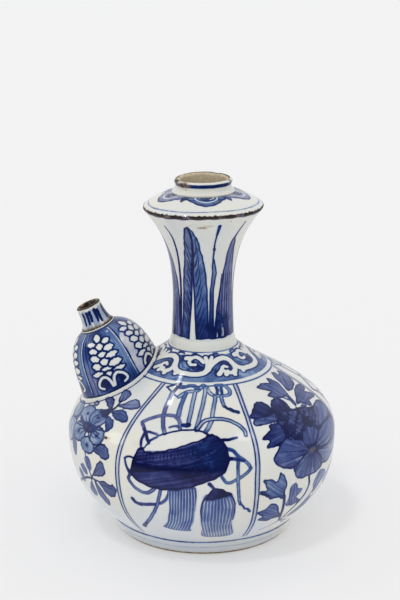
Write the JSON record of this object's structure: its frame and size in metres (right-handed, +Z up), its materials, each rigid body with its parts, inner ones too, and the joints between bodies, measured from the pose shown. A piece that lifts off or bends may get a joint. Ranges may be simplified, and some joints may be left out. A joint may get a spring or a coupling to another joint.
{
  "type": "kendi",
  "caption": "Round-bellied porcelain pouring vessel with a tall trumpet neck, a domed flange mouth and a swelling bulb spout, painted in underglaze blue with panels of flowers and emblems.",
  "frame": {"origin": "centre of the foot ring, on the surface that the kendi stands on", "axes": "+Z up along the body's axis of turning; the spout leans towards -X, and -Y is the pictured front"},
  "size_m": [0.1424, 0.1424, 0.19],
  "materials": {
    "painted_porcelain": "gloss glaze over cobalt painting",
    "glazed_slip": "gloss",
    "bare_slip": "matte"
  },
  "bodies": {
    "root": {"foot_ring": "painted_porcelain", "foot_slip": "glazed_slip", "lower_bowl": "painted_porcelain", "belly_slip": "bare_slip", "shoulder": "painted_porcelain", "neck_band": "glazed_slip", "neck": "painted_porcelain", "flange_slip": "glazed_slip", "mouth_dome": "painted_porcelain", "collar_slip": "glazed_slip", "mouth_collar": "painted_porcelain", "spout_bead": "glazed_slip", "spout_bulb": "painted_porcelain", "nozzle_slip": "glazed_slip", "spout_nozzle": "painted_porcelain"}
  },
  "joints": []
}
